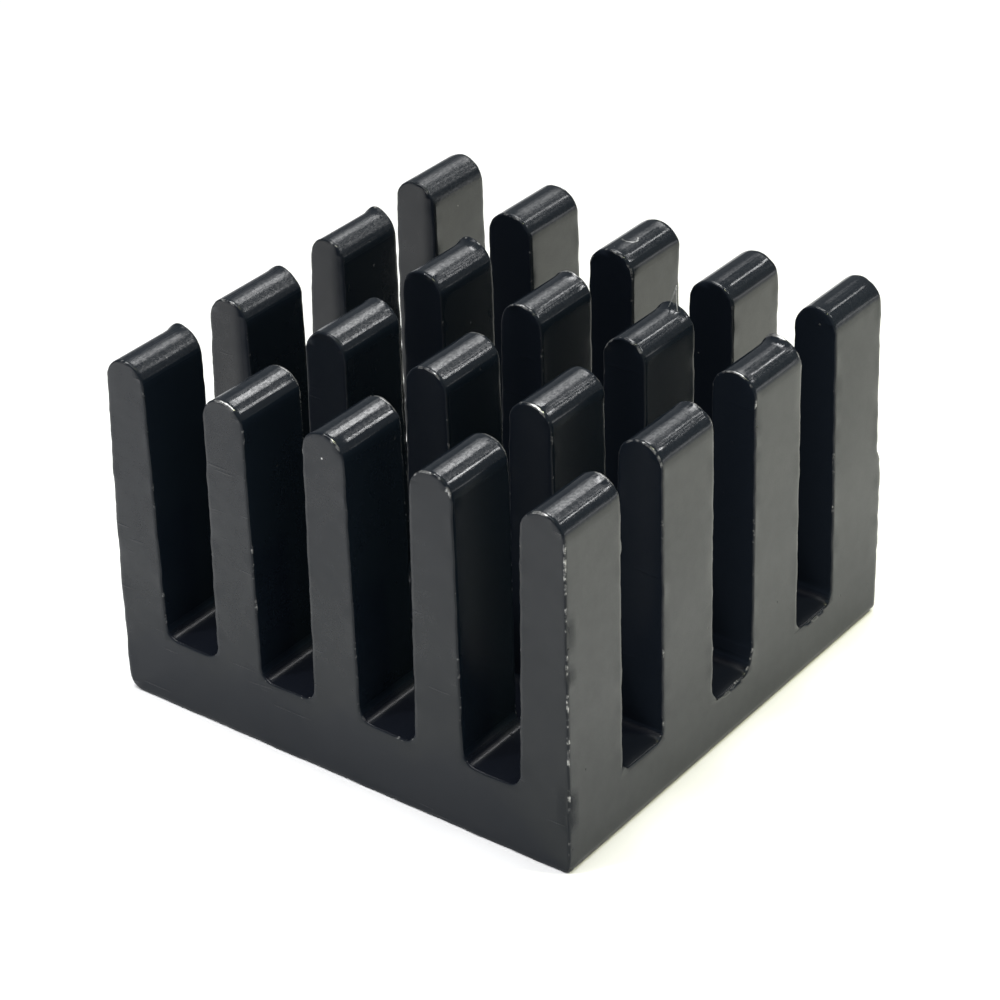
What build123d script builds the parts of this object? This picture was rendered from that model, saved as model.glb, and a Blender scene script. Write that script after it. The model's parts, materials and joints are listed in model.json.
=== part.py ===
from build123d import *
import os

# Chip heat sink: one aluminium extrusion with five round-topped fins, sawn across
# three times so that each fin becomes four upright pins on a common base.
# X runs across the fins, Y along the extrusion, Z up. The origin is the middle of the
# flat underside. All sizes are in millimetres.

# Overall size
width = 14.0  # across the fins
length = 14.0  # along the extrusion
height = 9.8  # underside to the crowns of the fins

# Extruded section
fin_count = 5
base_height = 1.95  # underside to the floor of the slots between the fins
fin_root = 1.45  # thickness of a fin where it leaves the base
fin_tip = 1.26  # thickness of a fin where its round crown begins
slot_root_radius = 0.35  # where a fin meets the floor of a slot
foot_radius = 0.3  # the two lower edges of the base that run along the extrusion

# Saw cuts across the fins
row_count = 4
cut_width = 1.72
cut_overrun = 0.4  # how far a cut goes below the slot floors, so that the pins stand free
cut_root_radius = 0.3  # where a pin meets the floor of a cut

# Places that follow from the sizes above
fin_pitch = (width - fin_root) / (fin_count - 1)
row_pitch = (length + cut_width) / row_count
crown_rise = fin_tip / 2  # the crown is a half round
shoulder_height = height - crown_rise
cut_floor_height = base_height - cut_overrun
cut_depth = height - cut_floor_height

# Outline of one fin, from the slot floor up, about its own centre line
with BuildSketch() as fin_outline:
    with BuildLine():
        flank = Line((-fin_root / 2, base_height), (-fin_tip / 2, shoulder_height))
        crown = ThreePointArc(flank @ 1, (0, height), (fin_tip / 2, shoulder_height))
        Line(crown @ 1, (fin_root / 2, base_height))
        Line((fin_root / 2, base_height), flank @ 0)
    make_face()

with BuildPart() as heat_sink:
    # The extruded section: the base, its fins, round slot corners and round lower edges
    with BuildSketch(Plane.XZ) as section:
        Rectangle(width, base_height, align=(Align.CENTER, Align.MIN))
        with GridLocations(fin_pitch, 0, fin_count, 1):
            add(fin_outline.sketch)
        slot_corners = section.vertices().filter_by_position(Axis.Y, base_height, base_height)
        fillet(slot_corners.sort_by(Axis.X)[1:-1], radius=slot_root_radius)
        fillet(section.vertices().group_by(Axis.Y)[0], radius=foot_radius)
    extrude(amount=length / 2, both=True)

    # The saw cuts, open at the top and at both sides, with round lower corners
    with BuildSketch(Plane.YZ.offset(-width / 2)) as cuts:
        with Locations((0, cut_floor_height)):
            with GridLocations(row_pitch, 0, row_count - 1, 1):
                Rectangle(cut_width, 2 * cut_depth, align=(Align.CENTER, Align.MIN))
        fillet(cuts.vertices().group_by(Axis.Y)[0], radius=cut_root_radius)
    extrude(amount=width, mode=Mode.SUBTRACT)

heat_sink.part.label = "heat_sink"
os.makedirs("parts", exist_ok=True)
export_step(heat_sink.part, "parts/heat_sink.step")
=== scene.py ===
import json
import math
import bpy
import bmesh
from mathutils import Matrix, Vector, noise

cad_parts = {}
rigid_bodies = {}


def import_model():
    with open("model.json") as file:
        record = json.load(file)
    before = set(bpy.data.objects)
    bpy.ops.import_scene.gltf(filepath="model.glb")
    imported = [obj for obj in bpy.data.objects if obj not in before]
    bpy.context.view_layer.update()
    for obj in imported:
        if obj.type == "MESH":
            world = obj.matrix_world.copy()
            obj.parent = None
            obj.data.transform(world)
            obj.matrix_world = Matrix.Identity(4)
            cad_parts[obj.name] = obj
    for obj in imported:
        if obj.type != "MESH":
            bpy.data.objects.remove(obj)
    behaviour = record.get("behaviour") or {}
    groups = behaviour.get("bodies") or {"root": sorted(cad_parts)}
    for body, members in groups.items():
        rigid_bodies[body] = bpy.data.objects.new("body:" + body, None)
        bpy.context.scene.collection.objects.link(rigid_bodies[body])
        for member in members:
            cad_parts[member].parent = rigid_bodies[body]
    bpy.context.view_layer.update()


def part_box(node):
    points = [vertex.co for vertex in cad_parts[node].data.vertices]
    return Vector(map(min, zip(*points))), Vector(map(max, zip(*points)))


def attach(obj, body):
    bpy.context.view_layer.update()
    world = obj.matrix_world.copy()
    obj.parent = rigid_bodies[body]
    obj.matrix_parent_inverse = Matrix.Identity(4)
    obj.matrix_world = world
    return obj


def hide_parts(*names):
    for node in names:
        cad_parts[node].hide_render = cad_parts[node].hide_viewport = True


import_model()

# A black anodised chip heat sink: five extruded fins sawn into four rows of pins.
# The pins are modelled in millimetres and scaled to metres at the end.

mm = 0.001
touch = 0.002             # millimetres: places closer than this are one place
weld = 0.003              # millimetres: corners closer than this become one
snap = 0.004              # millimetres: a slice goes through a corner this near to it
shortEdge = 0.1           # millimetres: no edge shorter than this is rounded
flatAngle = 0.5           # degrees: faces that meet flatter than this become one
sinkLow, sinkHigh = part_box("heat_sink")

heatSink = dict(
    finCount=5,
    rowCount=4,
    width=(sinkHigh.x - sinkLow.x) / mm,
    length=(sinkHigh.y - sinkLow.y) / mm,
    height=(sinkHigh.z - sinkLow.z) / mm,
    baseHeight=1.95,      # underside to the floor of the slots
    cutFloor=1.55,        # underside to the floor of the saw cuts
    finRoot=1.45,         # fin thickness at the slot floor
    finTip=1.26,          # fin thickness where the round crown begins
    cutWidth=1.72,        # the saw's kerf
    slotRound=0.35,       # fin to slot floor
    cutRound=0.3,         # pin to cut floor
    footLeft=0.42,        # lower edge of the base, -X side
    footRight=0.22,       # lower edge of the base, +X side
    edgeBreak=0.04,       # small round left on every sawn edge by the finishing
    sharpAngle=50,        # degrees: edges that turn by more than this get one
    crownSteps=12,        # steps in a quarter of a crown
    roundSteps=6,         # steps in the other rounds
    breakSteps=2,         # steps in an edge break
    edgeBand=0.12,        # first mesh line inside an edge
    gridStep=0.3,         # mesh lines across the pins and the floors
    levelStep=0.15,       # mesh lines up the pins
)


# Shape

def fits(value, places):
    return any(abs(value - place) < touch for place in places)


def inSpan(value, spans):
    return any(low < value < high for low, high in spans)


def between(spans, reach=0):
    # The gaps between neighbouring spans, widened by a reach
    return [(spans[k][1] - reach, spans[k + 1][0] + reach) for k in range(len(spans) - 1)]


def nearest(value, spans):
    middles = [(low + high) / 2 for low, high in spans]
    return min(range(len(spans)), key=lambda k: abs(middles[k] - value))


def spread(start, end, step):
    count = max(1, round((end - start) / step))
    return [start + (end - start) * k / count for k in range(count + 1)]


def linesInside(spans, inset, step):
    return [place for low, high in spans for place in spread(low + inset, high - inset, step)]


def finPlaces(sink):
    pitch = (sink["width"] - sink["finRoot"]) / (sink["finCount"] - 1)
    starts = [-sink["width"] / 2 + k * pitch for k in range(sink["finCount"])]
    return [(start, start + sink["finRoot"]) for start in starts]


def rowPlaces(sink):
    pitch = (sink["length"] + sink["cutWidth"]) / sink["rowCount"]
    starts = [-sink["length"] / 2 + k * pitch for k in range(sink["rowCount"])]
    return [(start, start + pitch - sink["cutWidth"]) for start in starts]


def sliceMesh(mesh, axis, places):
    normal = Vector((0, 0, 0))
    normal[axis] = 1
    for place in places:
        everything = mesh.verts[:] + mesh.edges[:] + mesh.faces[:]
        bmesh.ops.bisect_plane(mesh, geom=everything, dist=snap, plane_co=normal * place, plane_no=normal)


def topFaces(mesh, above, axis, spans):
    found = []
    for face in mesh.faces:
        middle = face.calc_center_median()
        if face.normal.z > 0.9 and middle.z > above and inSpan(middle[axis], spans):
            found.append(face)
    return found


def raiseFaces(mesh, faces, height):
    made = bmesh.ops.extrude_face_region(mesh, geom=faces)
    tops = [item for item in made["geom"] if isinstance(item, bmesh.types.BMVert)]
    bmesh.ops.translate(mesh, verts=tops, vec=(0, 0, height))
    bmesh.ops.delete(mesh, geom=faces, context="FACES_ONLY")


def roundEdges(mesh, edges, radius, steps):
    made = bmesh.ops.bevel(mesh, geom=edges, offset=radius, offset_type="OFFSET", affect="EDGES",
                           segments=steps, profile=0.5, material=-1, clamp_overlap=True)
    return made["faces"]


def levelEdges(mesh, z, places, across):
    # Edges at one height and at these places across, that run along the other way
    along = 1 - across
    found = []
    for edge in mesh.edges:
        a, b = edge.verts[0].co, edge.verts[1].co
        level = abs(a.z - z) < touch and abs(b.z - z) < touch
        straight = abs(a[across] - b[across]) < touch and abs(a[along] - b[along]) > shortEdge
        if level and straight and fits(a[across], places):
            found.append(edge)
    return found


def blockOut(mesh, sink, fins, rows):
    # The base up to the cut floors, the four rows on it, and the fins on the rows
    bmesh.ops.create_cube(mesh, size=1)
    bmesh.ops.scale(mesh, verts=mesh.verts[:], vec=(sink["width"], sink["length"], sink["cutFloor"]))
    bmesh.ops.translate(mesh, verts=mesh.verts[:], vec=(0, 0, sink["cutFloor"] / 2))
    sliceMesh(mesh, 1, [y for span in rows for y in span][1:-1])
    raiseFaces(mesh, topFaces(mesh, 0, 1, rows), sink["baseHeight"] - sink["cutFloor"])
    sliceMesh(mesh, 0, [x for span in fins for x in span][1:-1])
    rowTops = topFaces(mesh, sink["cutFloor"] + touch, 0, fins)
    raiseFaces(mesh, rowTops, sink["height"] - sink["baseHeight"])
    bmesh.ops.dissolve_limit(mesh, angle_limit=math.radians(flatAngle),
                             verts=mesh.verts[:], edges=mesh.edges[:])


def roundOff(mesh, sink, fins, rows):
    # The rounds that run along the extrusion, then the lower corners of the saw cuts. A crown
    # takes just under half the fin, so that its two rounds don't meet.
    finEdges = [x for span in fins for x in span]
    rowEdges = [y for span in rows for y in span]
    steps = sink["roundSteps"]
    for z, places, across, radius, stepCount in (
        (sink["height"], finEdges, 0, sink["finRoot"] / 2 * 0.999, sink["crownSteps"]),
        (sink["baseHeight"], finEdges[1:-1], 0, sink["slotRound"], steps),
        (sink["cutFloor"], rowEdges[1:-1], 1, sink["cutRound"], steps),
        (0, finEdges[:1], 0, sink["footLeft"], steps),
        (0, finEdges[-1:], 0, sink["footRight"], steps),
    ):
        roundEdges(mesh, levelEdges(mesh, z, places, across), radius, stepCount)
    bmesh.ops.remove_doubles(mesh, verts=mesh.verts[:], dist=weld)


def breakEdges(mesh, sink):
    # Every sharp edge gets its small round, marked for the wear
    mark = mesh.faces.layers.int.new("edgeMark")
    limit = math.radians(sink["sharpAngle"])
    sharp = [e for e in mesh.edges if e.is_manifold and e.is_convex and e.calc_face_angle(0) > limit]
    for face in roundEdges(mesh, sharp, sink["edgeBreak"], sink["breakSteps"]):
        face[mark] = 1


def addLines(mesh, sink, fins, rows):
    # Mesh lines for the later moves, closer together beside the edges
    band = sink["edgeBand"]
    step = sink["gridStep"]
    sliceMesh(mesh, 0, linesInside(fins, band, step) + linesInside(between(fins), sink["slotRound"], step))
    sliceMesh(mesh, 1, linesInside(rows, band, step) + linesInside(between(rows), sink["cutRound"], step))
    sliceMesh(mesh, 2, spread(band, sink["height"] - band, sink["levelStep"]))
    bmesh.ops.remove_doubles(mesh, verts=mesh.verts[:], dist=weld)


def makeBody(sink):
    fins = finPlaces(sink)
    rows = rowPlaces(sink)
    mesh = bmesh.new()
    blockOut(mesh, sink, fins, rows)
    roundOff(mesh, sink, fins, rows)
    print("body: rounds made,", len(mesh.faces), "faces")
    breakEdges(mesh, sink)
    print("body: sharp edges rounded,", len(mesh.faces), "faces")
    addLines(mesh, sink, fins, rows)
    print("body: sliced,", len(mesh.faces), "faces")
    return mesh


def taperPins(mesh, sink):
    fins = finPlaces(sink)
    halfRoot = sink["finRoot"] / 2
    halfTip = sink["finTip"] / 2
    lowShoulder = sink["height"] - halfRoot
    shoulder = sink["height"] - halfTip
    for vert in mesh.verts:
        co = vert.co
        if co.z <= sink["baseHeight"]:
            continue
        centre = sum(fins[nearest(co.x, fins)]) / 2
        if co.z < lowShoulder:
            share = (co.z - sink["baseHeight"]) / (lowShoulder - sink["baseHeight"])
            co.z = sink["baseHeight"] + share * (shoulder - sink["baseHeight"])
        else:
            share = 1
            co.z = shoulder + (co.z - lowShoulder) * halfTip / halfRoot
        co.x = centre + (co.x - centre) * (1 + share * (halfTip / halfRoot - 1))


# Wear, and the painted shade in the cuts

wearAndShade = dict(
    # How rubbed the rims of the crowns are: a line for each row from -Y, a value for each fin
    frontRims=(
        (0.5, 0.75, 0.8, 0.85, 0.8),
        (0.4, 0.5, 0.7, 0.85, 0.95),
        (0.35, 0.5, 0.6, 0.95, 0.9),
        (0.6, 0.5, 0.85, 0.4, 0.6),
    ),
    backRims=(
        (0.4, 0.95, 1, 1, 0.9),
        (0.4, 0.8, 0.95, 0.6, 0.7),
        (0.4, 0.6, 1, 0.5, 1),
        (0.3, 0.6, 0.4, 0.3, 0.3),
    ),
    rimTurn=10,           # degrees from the ridge towards +X where a rim is rubbed most
    rimSpread=42,         # degrees over which that fades to a half
    rimDepth=0.15,        # a rim begins this far below its crown
    backRim=1.3,          # how much wider the bare line is on a crown's back rim
    backRimDepth=0.8,     # which reaches this far down
    nearEdge=0.52,        # the upright edge nearest the viewer
    foot=0.22,            # the edges of the underside
    footHeight=0.2,
    otherEdges=0.3,
    # Knocks on the edges: place, and how far the bare patch reaches
    knocks=(
        ((-5.75, -7, 9.5), 0.12),
        ((3.68, -7, 9.45), 0.05),
        ((6.2, -7, 9.8), 0.15),
        ((6.9, -7, 8.95), 0.2),
        ((6.9, -7, 8.45), 0.1),
        ((6.95, -7, 3.9), 0.15),
        ((3.3, -3.07, 9.78), 0.1),
        ((5.6, -7, 8.3), 0.06),
        ((6.45, -4.79, 9.77), 0.18),
        ((3.35, -4.79, 9.77), 0.22),
        ((0.15, -4.79, 9.78), 0.2),
        ((-2.95, -4.79, 9.77), 0.15),
        ((-0.05, -0.86, 9.8), 0.15),
        ((6.2, 3.07, 9.8), 0.15),
    ),
    knockWidth=0.6,       # how much a knock widens the bare line
    knockWear=0.4,        # how much more rubbed it is there
    flankShade=0.8,       # how shaded the flanks between the fins count, next to the cuts
)


def bell(distance, width):
    return math.exp(-(distance / width) ** 2)


def edgeWeight(co, sink, wearAndShade, fins, rows):
    shoulder = sink["height"] - sink["finTip"] / 2
    depth = wearAndShade["rimDepth"]
    if co.z > shoulder - depth:
        row = nearest(co.y, rows)
        fin = nearest(co.x, fins)
        rims = wearAndShade["frontRims"] if co.y < sum(rows[row]) / 2 else wearAndShade["backRims"]
        turn = math.degrees(math.atan2(co.x - sum(fins[fin]) / 2, max(co.z - shoulder, 0)))
        return rims[row][fin] * (1 + bell(turn - wearAndShade["rimTurn"], wearAndShade["rimSpread"])) / 2
    if co.x > sink["width"] / 2 - depth and co.y < depth - sink["length"] / 2:
        return wearAndShade["nearEdge"]
    return wearAndShade["foot"] if co.z < wearAndShade["footHeight"] else wearAndShade["otherEdges"]


def knockWeight(co, wearAndShade):
    return max(bell((co - Vector(place)).length, reach) for place, reach in wearAndShade["knocks"])


def markWear(mesh, sink, wearAndShade):
    # On the corners of the edge breaks: how wide the bare line is, and how rubbed
    mark = mesh.faces.layers.int["edgeMark"]
    rim = mesh.verts.layers.float.new("edgeRim")
    rubbed = mesh.verts.layers.float.new("edgeWear")
    fins = finPlaces(sink)
    rows = rowPlaces(sink)
    worn = {vert for face in mesh.faces if face[mark] == 1 for vert in face.verts}
    for vert in worn:
        row = rows[nearest(vert.co.y, rows)]
        onBack = vert.co.z > sink["height"] - wearAndShade["backRimDepth"] and vert.co.y > sum(row) / 2
        knock = knockWeight(vert.co, wearAndShade)
        vert[rim] = (wearAndShade["backRim"] if onBack else 1) + wearAndShade["knockWidth"] * knock
        vert[rubbed] = edgeWeight(vert.co, sink, wearAndShade, fins, rows) + wearAndShade["knockWear"] * knock


def markCutShade(mesh, sink, wearAndShade):
    # Painted shade: faces in the cuts, past the first fin, and a little less the +X flanks of the first
    # four fins in the first three rows, get a darker colour and less gloss. The others look out on the
    # open floor.
    mark = mesh.faces.layers.int["edgeMark"]
    shadeLayer = mesh.faces.layers.float.new("paintedCutShade")
    rows = rowPlaces(sink)
    cuts = between(rows, 0.03)
    halfWidth = sink["width"] / 2
    outerFin = sink["finRoot"] + 0.15
    mesh.normal_update()
    for face in mesh.faces:
        middle = face.calc_center_median()
        outside = abs(middle.x) > halfWidth - 0.01 or middle.z < sink["cutFloor"] - 0.01
        inCut = inSpan(middle.y, cuts) and middle.x > outerFin - halfWidth
        if inCut and not outside and face[mark] == 0:
            face[shadeLayer] = 1
        elif middle.y < rows[2][1] and middle.x < halfWidth - outerFin and face.normal.x > 0.9:
            face[shadeLayer] = wearAndShade["flankShade"]


# How this part strays from the plain section. A pin is named by its fin, counted from -X,
# and its row, counted from -Y. Lengths are millimetres.

strays = dict(
    seed=4,
    crownRise={           # how much higher a pin's crown is
        (1, 1): 0.02, (1, 3): 0.1, (1, 4): 0.17,
        (2, 1): -0.12, (2, 3): 0.05, (2, 4): 0.08,
        (3, 4): -0.05, (4, 4): -0.1, (5, 4): 0.08,
    },
    pinSides={            # how far a pin's -X and +X sides lie off at its crown
        (1, 1): (0.07, 0), (1, 2): (0, -0.03), (1, 3): (0.09, -0.05), (1, 4): (-0.12, -0.1),
        (2, 4): (-0.14, -0.03), (3, 4): (-0.03, 0.08), (4, 4): (-0.05, 0.01), (5, 4): (-0.03, -0.08),
    },
    burrLips={            # how high the saw's burr stands on the back end of a crown
        (1, 1): 0.09, (1, 2): 0.06, (1, 3): 0.11, (2, 2): 0.04, (2, 3): 0.12,
        (3, 3): 0.05, (4, 3): 0.1, (5, 3): 0.12, (5, 2): 0.04,
    },
    lipPlace=-0.2,        # where a lip is highest, from the ridge
    lipWidth=0.4,
    lipStart=0.85,        # share of the pin's height where a lip begins
    lipRamp=0.125,        # share over which it becomes whole
    lean=0.05,            # how far a pin leans at its crown
    wave=0.02,            # waves along the edges
    waveCount=2.2,        # per millimetre
    ripple=0.009,         # finer ripple on top of the waves
    rippleCount=7,
    chip=0.06,            # deepest chip in the upright edge nearest the viewer
    chipCount=1.9,
    outerBow=0.045,       # bulge of the first fin's outer face
    bowStart=1.5,         # the bulge begins at this height
    bowLength=7.5,
    lateFront=0.1,        # the fifth fin's third pin starts this much further back
    lateHeight=4.85,      # its fourth pin reaches further back below this height
    lateBack=0.17,        # by this much
    lateRamp=0.12,        # height of the step between
    notchHeight=2.9,      # notch in that pin's back edge
    notchLength=0.14,
    notch=0.05,
    baseCorner=0.13,      # the base reaches this much further back at its +X corner
    cornerReach=0.3,      # over this width
    nubHeight=8.04,       # nub on the back edge of the fifth fin's first pin
    nubLength=0.12,
    nub=0.07,
    firstCutRise=0.2,     # the saw cut nearest the viewer is shallower
    firstSlotRise=0.08,   # so is the slot beside the first fin
    slotRiseTop=3,        # height where its lift has faded out
    floorBreak=0.06,      # the cut floors are broken down at their +X end
    edge=0.07,            # depth of the strip that moves with an edge
    backEdge=0.1,         # the same for the back edges
    fade=0.5,             # depth over which the larger moves fade out
)


def clamp(value):
    return max(0, min(1, value))


def fading(depth, reach):
    # 1 at a face, 0 this deep or deeper below it
    return clamp(1 - depth / reach)


def liftFloor(co, low, high, rise, edge):
    return rise * clamp((co.z - low + edge) / 0.05) * clamp((high - co.z) / (high - low))


def moveFloors(co, sink, strays, fins, rows):
    lift = 0
    edge = strays["edge"]
    cuts = between(rows, 0.01)
    slots = between(fins, 0.1)
    if inSpan(co.y, cuts[:1]):
        lift += liftFloor(co, sink["cutFloor"], sink["baseHeight"], strays["firstCutRise"], edge)
    elif inSpan(co.x, slots[:1]) and co.z > sink["cutFloor"] + 0.2:
        lift += liftFloor(co, sink["baseHeight"], strays["slotRiseTop"], strays["firstSlotRise"], edge)
    atEnd = co.x > sink["width"] / 2 - edge
    if atEnd and inSpan(co.y, cuts) and abs(co.z - sink["cutFloor"]) < strays["floorBreak"]:
        lift -= strays["floorBreak"]
    return Vector((0, 0, lift))


def moveSides(co, sink, strays):
    move = Vector((0, 0, 0))
    fromLeft = co.x + sink["width"] / 2
    fromRight = sink["width"] / 2 - co.x
    fromFront = co.y + sink["length"] / 2
    fromBack = sink["length"] / 2 - co.y
    if fromLeft < strays["fade"] and co.z > sink["cutFloor"]:
        swell = math.sin(math.pi * clamp((co.z - strays["bowStart"]) / strays["bowLength"]))
        move.x -= strays["outerBow"] * swell * fading(fromLeft, strays["fade"])
    if fromRight < strays["edge"] and fromFront < strays["edge"]:
        spot = Vector((0.3, 0.7, co.z * strays["chipCount"]))
        depth = strays["chip"] * clamp(noise.noise(spot) * 2)
        move += Vector((-depth, depth, 0))
    if co.z <= sink["baseHeight"]:
        share = clamp((strays["fade"] - fromRight) / strays["cornerReach"])
        move.y += strays["baseCorner"] * share * fading(fromBack, strays["fade"])
    return move


def movePin(co, worn, sink, strays, fins, rows):
    fin = nearest(co.x, fins)
    row = nearest(co.y, rows)
    pin = (fin + 1, row + 1)
    fromRidge = co.x - sum(fins[fin]) / 2
    fromFront = co.y - rows[row][0]
    fromBack = rows[row][1] - co.y
    share = (co.z - sink["baseHeight"]) / (sink["height"] - sink["baseHeight"])
    lean = noise.noise_vector(Vector((fin * 1.7, row * 2.3, 0.5))) * strays["lean"]
    left, right = strays["pinSides"].get(pin, (0, 0))
    side = left + (right - left) * clamp(fromRidge / sink["finTip"] + 0.5)
    move = Vector((lean.x + side, lean.y, strays["crownRise"].get(pin, 0))) * share
    if pin in strays["burrLips"]:
        lip = strays["burrLips"][pin] * clamp((share - strays["lipStart"]) / strays["lipRamp"])
        lip *= bell(fromRidge - strays["lipPlace"], strays["lipWidth"])
        move.z += lip * bell(fromBack, strays["edge"])
    onBackEdge = worn and fromBack < strays["backEdge"]
    if pin == (5, 3):
        move.y += strays["lateFront"] * fading(fromFront, strays["fade"])
    if pin == (5, 4):
        below = clamp((strays["lateHeight"] - co.z) / strays["lateRamp"])
        move.y += strays["lateBack"] * below * fading(fromBack, strays["fade"])
        if onBackEdge:
            move.y -= strays["notch"] * bell(co.z - strays["notchHeight"], strays["notchLength"])
    if pin == (5, 1) and onBackEdge and fromRidge > 0:
        move.y += strays["nub"] * bell(co.z - strays["nubHeight"], strays["nubLength"])
    return move


def strayVert(co, worn, sink, strays, fins, rows):
    move = moveFloors(co, sink, strays, fins, rows) + moveSides(co, sink, strays)
    if worn:
        move += noise.noise_vector(co * strays["waveCount"]) * strays["wave"]
        move += noise.noise_vector(co * strays["rippleCount"]) * strays["ripple"]
    if co.z > sink["baseHeight"]:
        move += movePin(co, worn, sink, strays, fins, rows)
    return move


def strayShape(mesh, sink, strays):
    fins = finPlaces(sink)
    rows = rowPlaces(sink)
    rubbed = mesh.verts.layers.float["edgeWear"]
    noise.seed_set(strays["seed"])
    moves = [strayVert(vert.co, vert[rubbed] > 0, sink, strays, fins, rows) for vert in mesh.verts]
    for vert, move in zip(mesh.verts, moves):
        vert.co += move


def finishMesh(mesh, name, scale=mm):
    bmesh.ops.scale(mesh, verts=mesh.verts[:], vec=(scale, scale, scale))
    bmesh.ops.recalc_face_normals(mesh, faces=mesh.faces[:])
    for face in mesh.faces:
        face.smooth = True
    data = bpy.data.meshes.new(name)
    mesh.to_mesh(data)
    mesh.free()
    piece = bpy.data.objects.new(name, data)
    bpy.context.scene.collection.objects.link(piece)
    return piece


bodyMesh = makeBody(heatSink)
taperPins(bodyMesh, heatSink)
markWear(bodyMesh, heatSink, wearAndShade)
markCutShade(bodyMesh, heatSink, wearAndShade)
strayShape(bodyMesh, heatSink, strays)
sinkPiece = finishMesh(bodyMesh, "heat_sink_anodised")
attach(sinkPiece, "root")
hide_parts("heat_sink")
print("heat sink:", len(sinkPiece.data.polygons), "faces")


# A whisker of swarf on the back end of the fourth fin's third pin

swarf = dict(
    thickness=0.028,
    foot=(3.08, 2.9, 9.77),   # where the first strand leaves the crown
    spread=0.27,          # the second starts this much further towards +X
    drop=0.03,            # and this much lower
    tip=(3.3, 2.92, 10.44),
    bow=0.04,             # how far the strands bow apart
    arch=0.03,            # and how far up
)


def makeWhisker(swarf):
    # Two thin strands that meet at a tip
    curve = bpy.data.curves.new("whisker path", "CURVE")
    curve.dimensions = "3D"
    curve.bevel_depth = swarf["thickness"] / 2 * mm
    curve.bevel_resolution = 2
    foot = Vector(swarf["foot"])
    tip = Vector(swarf["tip"])
    for side in (0, 1):
        start = foot + Vector((swarf["spread"], 0, -swarf["drop"])) * side
        bend = (start + tip) / 2 + Vector((swarf["bow"] * (1 - 2 * side), 0, swarf["arch"]))
        strand = curve.splines.new("NURBS")
        strand.points.add(2)
        for point, place in zip(strand.points, (start, bend, tip)):
            point.co = (*(place * mm), 1)
        strand.use_endpoint_u = True
        strand.order_u = 3
        strand.use_cyclic_u = False
    curve.use_fill_caps = True
    holder = bpy.data.objects.new("whisker path", curve)
    data = bpy.data.meshes.new_from_object(holder)
    data.name = "swarf_whisker"
    bpy.data.objects.remove(holder)
    bpy.data.curves.remove(curve)
    for face in data.polygons:
        face.use_smooth = True
    whisker = bpy.data.objects.new("swarf_whisker", data)
    bpy.context.scene.collection.objects.link(whisker)
    return whisker


whiskerPiece = makeWhisker(swarf)
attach(whiskerPiece, "root")
print("whisker:", len(whiskerPiece.data.polygons), "faces")


# Finish. Places and sizes are in millimetres, and a pair is where a change begins and ends.

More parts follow.
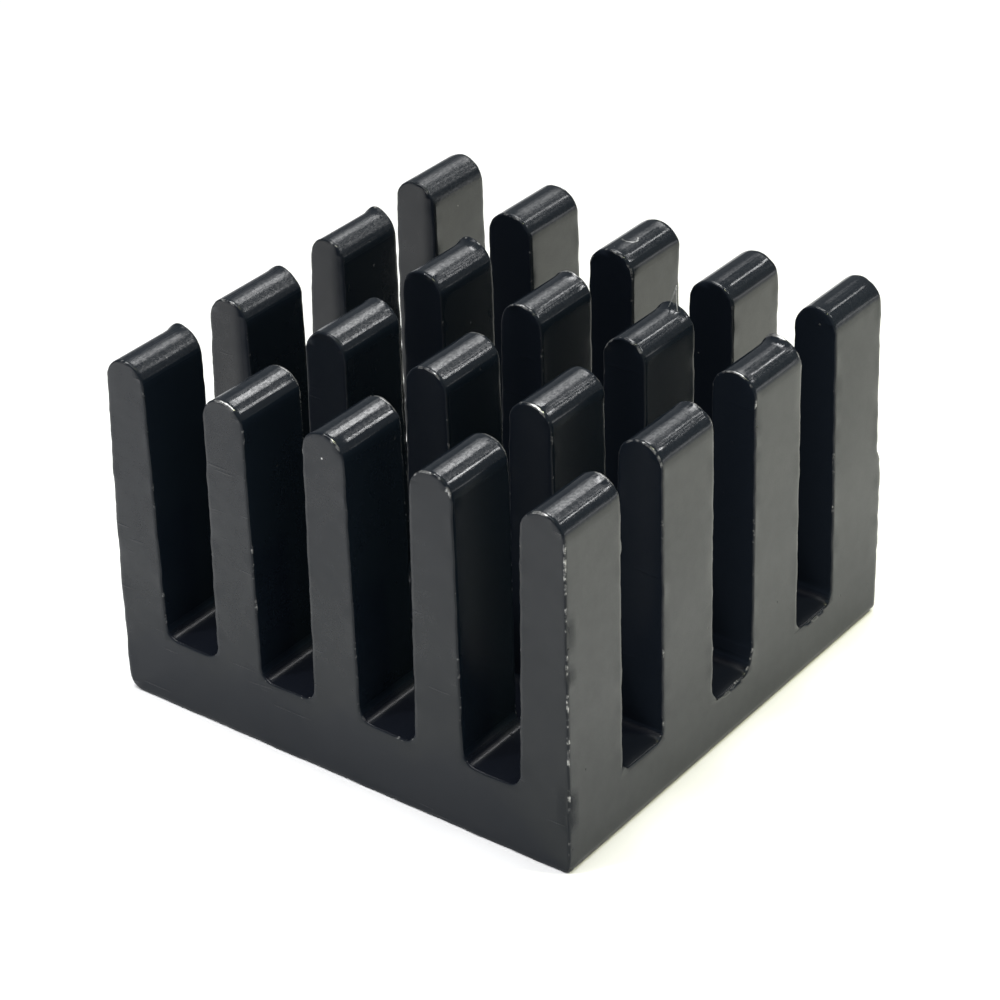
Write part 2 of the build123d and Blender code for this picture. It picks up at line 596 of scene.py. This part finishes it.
finish = dict(
    black=(0.0095, 0.0125, 0.017, 1),
    flankShadeBlack=(0.0052, 0.0088, 0.0142, 1),    # painted shade: flanks between the fins
    cutFaceShadeBlack=(0.0105, 0.0142, 0.0208, 1),    # painted shade: sawn faces in the cuts
    floorShadeBlack=(0.0053, 0.0067, 0.0104, 1),    # painted shade: floors of the slots and cuts
    bareMetal=(0.5, 0.5, 0.49, 1),
    dullMetal=(0.2, 0.2, 0.2, 1),              # patches of the bare metal
    indexOfRefraction=1.4,

    # Zones
    crownBelow=(0.55, 0.2),     # from this far below the top up
    sawnNormal=(0.6, 0.8),      # how much a sawn face looks along the extrusion
    flatNormal=(0.4, 0.8),      # how much a floor looks up
    cornerNormal=(0.08, 0.3),   # the same for the rounded lower corners
    floorAbove=(0.6, 0.4),      # both end this far above the slot floors
    innerLeft=(0.75, 1.2),      # the shaded front and back faces begin this far from the -X side
    innerFront=(0.1, 0.2),      # and this far from the front

    # Wear
    rimLine=(0.82, 0.99),       # values of the edge mark between which the bare line fades in
    rubbed=(0.8, 1.05),         # values of wear and noise together where bare metal shows
    rubbedNoise=(6, 6),         # scale and detail
    rubbedPatches=1.6,          # scale of the more and the less rubbed stretches
    patchDepth=0.12,            # and how far they differ
    speckCells=1.4,
    speckSize=(0.03, 0.05),
    speckShare=(0.86, 0.87),    # only cells above this have one
    pitCells=1.9,
    pitSize=(0.04, 0.07),
    pitShare=(0.82, 0.83),
    scuffPlace=(0.04, 5.66),    # a curved scuff on the third fin's last pin
    scuffReach=0.21,
    scuffWidth=(0.012, 0.03),
    scuffBare=0.7,              # share of bare metal in it

    # Gloss
    gloss=0.5,
    grazingGloss=0.06,          # gloss left at a grazing view
    grazing=(0.55, 0.95),
    mottle=((0.35, 3, 0.9, 1.08), (3, 3, 0.95, 1.05), (22, 2, 0.94, 1.06)),  # scale, detail, range
    footShadeGloss=0.62,              # painted shade: share of the gloss at the foot of the base, darker towards the bottom
    footShadeTop=4.2,
    cutShadeGloss=0.25,            # painted shade: share of the gloss in the cuts
    rimGloss=(0.3, 0.5),        # on the edge breaks, head on and at a grazing view
    rimGrazing=(0.6, 0.95),
    sawnGlossAndShade=(0.74, 0.85),   # share of the gloss on the sawn faces, low and high: their own duller finish, and painted shade low down
    sawnShadeHeights=(1, 8),
    sawnShadeRight=0.93,        # and how much of that is left at the +X side, painted shade too
    farShadeGloss=0.86,              # painted shade: share of the gloss high on the last pin's +X flank
    farBack=(4, 5),
    farHeights=(3.5, 7),
    farRight=(6.7, 6.85),
    pitGloss=0.55,
    gritAcross=17,              # grit in the finish of the crowns, per millimetre
    gritAlong=10,
    gritGloss=0.36,

    # Roughness
    flankRoughness=0.17,
    innerRoughness=0.28,
    crownRoughness=0.13,
    dullCrowns=0.13,            # how much rougher the crowns of the first fin are
    dullFrom=(-1, -6),          # places across
    wornRoughness=0.24,         # how much rougher the bare metal is
    cornerRoughness=0.09,       # how much rougher the lower corners of the slots are
    streakRoughness=(-0.02, 0.04),
    drawLine=13,                # die lines across the extrusion, per millimetre
    drawLength=0.9,             # die lines along the extrusion, per millimetre

    # Relief, in metres
    streakDepth=0.000002,
    flankStreaks=0.02,          # share of the streaks that the flanks keep
    gritDepth=0.0000009,
    scratchDepth=0.000004,
    scratches=(0.72, 0.78),     # values of the noise that make one
    pitDepth=0.00002,
)


def newMaterial(name):
    material = bpy.data.materials.new(name)
    material.use_nodes = True
    return material, material.node_tree.nodes["Principled BSDF"]


class Shade:
    # Short ways to add and join shader nodes

    def __init__(self, material):
        self.nodes = material.node_tree.nodes
        self.links = material.node_tree.links

    def put(self, socket, value):
        if isinstance(value, bpy.types.NodeSocket):
            self.links.new(value, socket)
        else:
            socket.default_value = value

    def math(self, operation, first, second=0.0):
        node = self.nodes.new("ShaderNodeMath")
        node.operation = operation
        self.put(node.inputs[0], first)
        self.put(node.inputs[1], second)
        return node.outputs[0]

    def times(self, first, *others):
        for value in others:
            first = self.math("MULTIPLY", first, value)
        return first

    def plus(self, first, second):
        return self.math("ADD", first, second)

    def minus(self, first, second):
        return self.math("SUBTRACT", first, second)

    def ramp(self, value, low, high, lowResult=0.0, highResult=1.0):
        node = self.nodes.new("ShaderNodeMapRange")
        node.interpolation_type = "SMOOTHSTEP"
        self.put(node.inputs["Value"], value)
        self.put(node.inputs["From Min"], low)
        self.put(node.inputs["From Max"], high)
        self.put(node.inputs["To Min"], lowResult)
        self.put(node.inputs["To Max"], highResult)
        return node.outputs["Result"]

    def mix(self, share, first, second):
        return self.ramp(share, 0, 1, first, second)

    def noise(self, place, scale, detail=2.0, stretch=(1, 1, 1)):
        mapping = self.nodes.new("ShaderNodeMapping")
        mapping.inputs["Scale"].default_value = stretch
        self.links.new(place, mapping.inputs["Vector"])
        node = self.nodes.new("ShaderNodeTexNoise")
        self.links.new(mapping.outputs["Vector"], node.inputs["Vector"])
        node.inputs["Scale"].default_value = scale
        node.inputs["Detail"].default_value = detail
        return node.outputs["Fac"]

    def dots(self, place, cells, size, channel, share):
        # Round dots with a soft rim, in the few cells whose own random value is high enough
        node = self.nodes.new("ShaderNodeTexVoronoi")
        self.links.new(place, node.inputs["Vector"])
        node.inputs["Scale"].default_value = cells
        picked = self.split(node.outputs["Color"])[channel]
        return self.times(self.ramp(node.outputs["Distance"], *size, 1, 0), self.ramp(picked, *share))

    def mixColour(self, share, first, second):
        node = self.nodes.new("ShaderNodeMix")
        node.data_type = "RGBA"
        self.put(node.inputs[0], share)
        self.put(node.inputs[6], first)
        self.put(node.inputs[7], second)
        return node.outputs[2]

    def split(self, vector):
        node = self.nodes.new("ShaderNodeSeparateXYZ")
        self.links.new(vector, node.inputs["Vector"])
        return node.outputs["X"], node.outputs["Y"], node.outputs["Z"]

    def attribute(self, name):
        node = self.nodes.new("ShaderNodeAttribute")
        node.attribute_name = name
        return node.outputs["Fac"]

    def grazing(self):
        node = self.nodes.new("ShaderNodeLayerWeight")
        node.inputs["Blend"].default_value = 0.5
        return node.outputs["Facing"]

    def millimetres(self):
        coordinates = self.nodes.new("ShaderNodeTexCoord")
        scaled = self.nodes.new("ShaderNodeVectorMath")
        scaled.operation = "SCALE"
        scaled.inputs["Scale"].default_value = 1 / mm
        self.links.new(coordinates.outputs["Object"], scaled.inputs[0])
        return scaled.outputs["Vector"]

    def bump(self, height, distance, before=None):
        node = self.nodes.new("ShaderNodeBump")
        node.inputs["Distance"].default_value = distance
        self.links.new(height, node.inputs["Height"])
        if before:
            self.links.new(before, node.inputs["Normal"])
        return node.outputs["Normal"]


def findZones(shade, place, finish, sink):
    x, y, z = shade.split(place)
    geometry = shade.nodes.new("ShaderNodeNewGeometry")
    normalY, normalZ = shade.split(geometry.outputs["True Normal"])[1:]
    top = sink["height"]
    left = -sink["width"] / 2
    front = -sink["length"] / 2
    crownStart, crownEnd = finish["crownBelow"]
    floorStart, floorEnd = finish["floorAbove"]
    sawn = shade.ramp(shade.math("ABSOLUTE", normalY), *finish["sawnNormal"])
    low = shade.ramp(z, sink["baseHeight"] + floorStart, sink["baseHeight"] + floorEnd)
    shaded = shade.times(
        sawn,
        shade.ramp(x, *(left + depth for depth in finish["innerLeft"])),
        shade.ramp(y, *(front + depth for depth in finish["innerFront"])),
    )
    return dict(
        x=x,
        y=y,
        z=z,
        sawn=sawn,
        crown=shade.times(shade.ramp(z, top - crownStart, top - crownEnd), shade.minus(1, sawn)),
        # Painted shade in the cuts and on the shaded flanks
        cutShade=shade.math("MAXIMUM", shade.attribute("paintedCutShade"), shaded),
        # Painted shade on the floors of the slots and cuts
        floors=shade.times(shade.ramp(normalZ, *finish["flatNormal"]), low),
        corners=shade.times(shade.ramp(normalZ, *finish["cornerNormal"]), low),
        rim=shade.ramp(shade.attribute("edgeRim"), *finish["rimLine"]),
    )


def wornParts(shade, place, finish, zones):
    rubbing = shade.times(shade.attribute("edgeWear"), 0.5)
    rubbing = shade.plus(shade.noise(place, *finish["rubbedNoise"]), rubbing)
    patches = shade.noise(place, finish["rubbedPatches"], 1)
    depth = finish["patchDepth"]
    rubbing = shade.plus(rubbing, shade.ramp(patches, 0.35, 0.65, -depth, depth))
    return shade.times(shade.ramp(rubbing, *finish["rubbed"]), zones["rim"])


def scuffMark(shade, finish, zones):
    # A piece of a ring
    middleX, middleY = finish["scuffPlace"]
    across = shade.minus(zones["x"], middleX)
    along = shade.minus(zones["y"], middleY)
    reach = shade.math("SQRT", shade.plus(shade.math("POWER", across, 2), shade.math("POWER", along, 2)))
    away = shade.math("ABSOLUTE", shade.minus(reach, finish["scuffReach"]))
    ring = shade.ramp(away, *finish["scuffWidth"], finish["scuffBare"], 0)
    return shade.times(ring, shade.ramp(shade.minus(across, along), -0.1, 0.04), zones["crown"])


def surfaceColour(shade, place, finish, zones, bare):
    # Painted shade: darker blacks on the flanks between the fins and on the sawn faces in the cuts
    shadedBlack = shade.mixColour(zones["sawn"], finish["flankShadeBlack"], finish["cutFaceShadeBlack"])
    black = shade.mixColour(zones["cutShade"], finish["black"], shadedBlack)
    # Painted shade: a darker black on the floors
    black = shade.mixColour(zones["floors"], black, finish["floorShadeBlack"])
    tarnish = shade.ramp(shade.noise(place, 14, 4), 0.35, 0.65)
    metal = shade.mixColour(tarnish, finish["dullMetal"], finish["bareMetal"])
    return shade.mixColour(bare, black, metal)


def surfaceGloss(shade, place, finish, sink, zones, grit, pits):
    # Mottled and weaker at a grazing view. Painted shade: weaker towards the foot, in the cuts, low down
    # and towards +X on the sawn faces, and high on the last pin's +X flank. The sawn faces' own finish is
    # duller too.
    x, y, z = zones["x"], zones["y"], zones["z"]
    grazing = shade.grazing()
    gloss = shade.ramp(grazing, *finish["grazing"], finish["gloss"], finish["grazingGloss"])
    for scale, detail, least, most in finish["mottle"]:
        gloss = shade.times(gloss, shade.ramp(shade.noise(place, scale, detail), 0.3, 0.7, least, most))
    # Painted shade: less gloss towards the foot
    gloss = shade.times(gloss, shade.ramp(z, 0, finish["footShadeTop"], finish["footShadeGloss"], 1))
    # Painted shade: less gloss in the cuts
    gloss = shade.times(gloss, shade.minus(1, shade.times(zones["cutShade"], 1 - finish["cutShadeGloss"])))
    rimGloss = shade.ramp(grazing, *finish["rimGrazing"], *finish["rimGloss"])
    gloss = shade.mix(zones["rim"], gloss, rimGloss)

    # The sawn faces' own duller finish, with painted shade low down and towards +X
    sawnShadedGloss = shade.times(
        shade.ramp(z, *finish["sawnShadeHeights"], *finish["sawnGlossAndShade"]),
        shade.ramp(x, -sink["width"] / 2, sink["width"] / 2, 1, finish["sawnShadeRight"]),
    )
    gloss = shade.times(gloss, shade.mix(zones["sawn"], 1, sawnShadedGloss))
    # Painted shade: weaker gloss high on the last pin's +X flank
    far = shade.times(
        shade.ramp(y, *finish["farBack"]),
        shade.ramp(z, *finish["farHeights"]),
        shade.ramp(x, *finish["farRight"]),
    )
    gloss = shade.times(gloss, shade.mix(far, 1, finish["farShadeGloss"]))
    reach = finish["gritGloss"]
    gritty = shade.times(shade.ramp(grit, 0.33, 0.67, -reach, reach), zones["crown"])
    gloss = shade.times(gloss, shade.plus(gritty, 1))
    return shade.times(gloss, shade.mix(pits, 1, finish["pitGloss"]))


def surfaceRoughness(shade, finish, zones, worn, streaks):
    # The crowns are smoothest, and die lines streak them lengthwise
    crown = zones["crown"]
    roughness = shade.mix(crown, finish["flankRoughness"], finish["crownRoughness"])
    innerStep = finish["innerRoughness"] - finish["flankRoughness"]
    for more in (
        shade.times(shade.ramp(streaks, 0.35, 0.7, *finish["streakRoughness"]), crown),
        shade.times(shade.ramp(zones["x"], *finish["dullFrom"]), crown, finish["dullCrowns"]),
        shade.times(worn, finish["wornRoughness"]),
        shade.times(zones["cutShade"], innerStep),
        shade.times(zones["corners"], finish["cornerRoughness"]),
    ):
        roughness = shade.plus(roughness, more)
    return roughness


def surfaceRelief(shade, place, finish, zones, streaks, grit, pits):
    # Die lines, grain on the crowns, a few scratches on the sawn faces, and the pits
    drawn = shade.times(streaks, shade.mix(zones["crown"], finish["flankStreaks"], 1))
    normal = shade.bump(drawn, finish["streakDepth"])
    normal = shade.bump(shade.times(grit, zones["crown"]), finish["gritDepth"], normal)
    scratches = shade.ramp(shade.noise(place, 1, 1, (0.5, 0.8, 7)), *finish["scratches"])
    normal = shade.bump(shade.times(scratches, zones["sawn"]), finish["scratchDepth"], normal)
    return shade.bump(shade.minus(1, pits), finish["pitDepth"], normal)


def anodisedFinish(finish, sink):
    material, shader = newMaterial("black anodise")
    shade = Shade(material)
    place = shade.millimetres()
    zones = findZones(shade, place, finish, sink)
    line, length = finish["drawLine"], finish["drawLength"]
    streaks = shade.noise(place, 1, 3, (line, length, line))
    across, along = finish["gritAcross"], finish["gritAlong"]
    grit = shade.noise(place, 1, 2, (across, along, across))
    specks = shade.dots(place, finish["speckCells"], finish["speckSize"], 0, finish["speckShare"])
    pits = shade.dots(place, finish["pitCells"], finish["pitSize"], 1, finish["pitShare"])
    worn = wornParts(shade, place, finish, zones)
    bare = shade.math("MAXIMUM", worn, specks)
    bare = shade.math("MAXIMUM", bare, scuffMark(shade, finish, zones))

    shade.put(shader.inputs["Metallic"], bare)
    shade.put(shader.inputs["Base Color"], surfaceColour(shade, place, finish, zones, bare))
    gloss = surfaceGloss(shade, place, finish, sink, zones, grit, pits)
    shade.put(shader.inputs["Specular IOR Level"], gloss)
    shader.inputs["IOR"].default_value = finish["indexOfRefraction"]
    shade.put(shader.inputs["Roughness"], surfaceRoughness(shade, finish, zones, worn, streaks))
    relief = surfaceRelief(shade, place, finish, zones, streaks, grit, pits)
    shade.put(shader.inputs["Normal"], relief)
    return material


swarfLook = dict(
    pale=(0.8, 0.81, 0.79, 1),
    grey=(0.5, 0.51, 0.5, 1),
    dirtScale=9000,       # per metre
    metallic=0.3,
    roughness=0.4,
)


def swarfFinish(look):
    material, shader = newMaterial("bare swarf")
    shade = Shade(material)
    coordinates = shade.nodes.new("ShaderNodeTexCoord")
    dirt = shade.ramp(shade.noise(coordinates.outputs["Object"], look["dirtScale"], 3), 0.4, 0.6)
    shade.put(shader.inputs["Base Color"], shade.mixColour(dirt, look["pale"], look["grey"]))
    shader.inputs["Metallic"].default_value = look["metallic"]
    shader.inputs["Roughness"].default_value = look["roughness"]
    return material


sinkPiece.data.materials.append(anodisedFinish(finish, heatSink))
whiskerPiece.data.materials.append(swarfFinish(swarfLook))
print("finish: materials made")


# Floor, light and camera, in metres

studio = dict(
    floorHalf=2,
    floorDrop=0.00001,    # the floor lies this far below the underside
    floorWhite=(0.95, 0.95, 0.95, 1),
    floorRoughness=0.9,
    sky=(0.91, 0.95, 1, 1),
    skyGlow=0.22,

    # Softboxes: place, width and height, and watts
    overhead=((0, -0.03, 0.31), (0.2, 0.2), 0.82),
    backWall=((0.25, 0.24, 0.02), (0.12, 0.04), 0.027),

    # The board of softboxes behind the part, which the crowns mirror. For each panel its place
    # across and up, its width and height, and its glow in watts per square metre and steradian.
    boardDistance=0.25,
    boardPanels=(
        ("board top", -0.0375, 0.311, 0.15, 0.0375, 16),
        ("board upper", -0.046, 0.28, 0.1325, 0.025, 7.5),
        ("board middle", -0.081, 0.2535, 0.1125, 0.0275, 4.4),
        ("board lower", -0.1125, 0.222, 0.085, 0.035, 3.2),
        ("board foot", -0.1475, 0.1885, 0.095, 0.0325, 0.9),
        ("board left", -0.1775, 0.2425, 0.045, 0.075, 1.3),
        ("board right", 0.075, 0.2555, 0.2, 0.045, 1.3),
        ("board near bar", 0.0775, 0.2173, 0.02, 0.045, 13.5),
        ("board middle bar", 0.133, 0.2298, 0.02, 0.025, 12),
        ("board far bar", 0.192, 0.216, 0.025, 0.0425, 26),
    ),

    # Lamps that keep the floor white: place, where it points, beam in degrees, watts and colour
    floorLamps=(
        ("floor lamp", (0, -0.02, 0.4), (0, -0.004, 0), 9, 0.65, (1, 1, 1)),
        ("front lamp", (-0.15, -0.2, 0.4), (-0.012, -0.018, 0), 7, 5.4, (1, 1, 1)),
        ("warm lamp", (0.2, 0.1, 0.4), (0.028, 0.022, 0), 13, 5.0, (0.99, 1, 0.61)),
    ),
    floorLampSize=0.02,
)


def makeFloor(studio):
    mesh = bmesh.new()
    bmesh.ops.create_grid(mesh, x_segments=8, y_segments=8, size=studio["floorHalf"])
    bmesh.ops.translate(mesh, verts=mesh.verts[:], vec=(0, 0, -studio["floorDrop"]))
    floor = finishMesh(mesh, "floor", 1)
    material, shader = newMaterial("pale floor")
    shader.inputs["Base Color"].default_value = studio["floorWhite"]
    shader.inputs["Roughness"].default_value = studio["floorRoughness"]
    floor.data.materials.append(material)


def hangLamp(name, lamp, place, aim):
    stand = bpy.data.objects.new(name, lamp)
    stand.location = place
    stand.rotation_euler = (Vector(place) - Vector(aim)).to_track_quat("Z", "Y").to_euler()
    bpy.context.scene.collection.objects.link(stand)


def addSoftbox(name, place, size, power, aim=(0, 0, 0.01)):
    lamp = bpy.data.lights.new(name, "AREA")
    lamp.shape = "RECTANGLE"
    lamp.size = size[0]
    lamp.size_y = size[1]
    lamp.energy = power
    hangLamp(name, lamp, place, aim)


def addFloorLamp(name, place, aim, beam, power, colour, size):
    lamp = bpy.data.lights.new(name, "SPOT")
    lamp.spot_size = math.radians(beam)
    lamp.spot_blend = 1
    lamp.shadow_soft_size = size
    lamp.energy = power
    lamp.color = colour
    hangLamp(name, lamp, place, aim)


def makeLight(studio):
    world = bpy.data.worlds.new("studio")
    world.use_nodes = True
    world.node_tree.nodes["Background"].inputs["Color"].default_value = studio["sky"]
    world.node_tree.nodes["Background"].inputs["Strength"].default_value = studio["skyGlow"]
    bpy.context.scene.world = world
    addSoftbox("overhead", *studio["overhead"])
    for name, across, up, width, height, glow in studio["boardPanels"]:
        power = glow * math.pi * width * height
        addSoftbox(name, (across, studio["boardDistance"], up), (width, height), power, (across, 0, up))
    addSoftbox("back wall", *studio["backWall"])
    for lamp in studio["floorLamps"]:
        addFloorLamp(*lamp, studio["floorLampSize"])


# Degrees, and millimetres from the part's origin
camera = dict(
    azimuth=36.96,
    elevation=30.857,
    roll=-1.202,
    distance=80.66,
    aim=(0.011, -0.176, 4.655),
    lens=113.36,
    sensor=36,
)


def makeCamera(view):
    data = bpy.data.cameras.new("camera")
    data.lens = view["lens"]
    data.sensor_width = view["sensor"]
    data.clip_start = 0.005
    data.clip_end = 20
    turn = Matrix.Rotation(math.radians(view["azimuth"]), 4, "Z")
    tilt = Matrix.Rotation(math.radians(90 - view["elevation"]), 4, "X")
    roll = Matrix.Rotation(math.radians(view["roll"]), 4, "Z")
    back = Matrix.Translation((0, 0, view["distance"] * mm))
    stand = bpy.data.objects.new("camera", data)
    stand.matrix_world = Matrix.Translation(Vector(view["aim"]) * mm) @ turn @ tilt @ roll @ back
    bpy.context.scene.collection.objects.link(stand)
    bpy.context.scene.camera = stand


makeFloor(studio)
makeLight(studio)
makeCamera(camera)
bpy.context.scene.view_settings.view_transform = "Standard"
print("stage: floor, light and camera set")
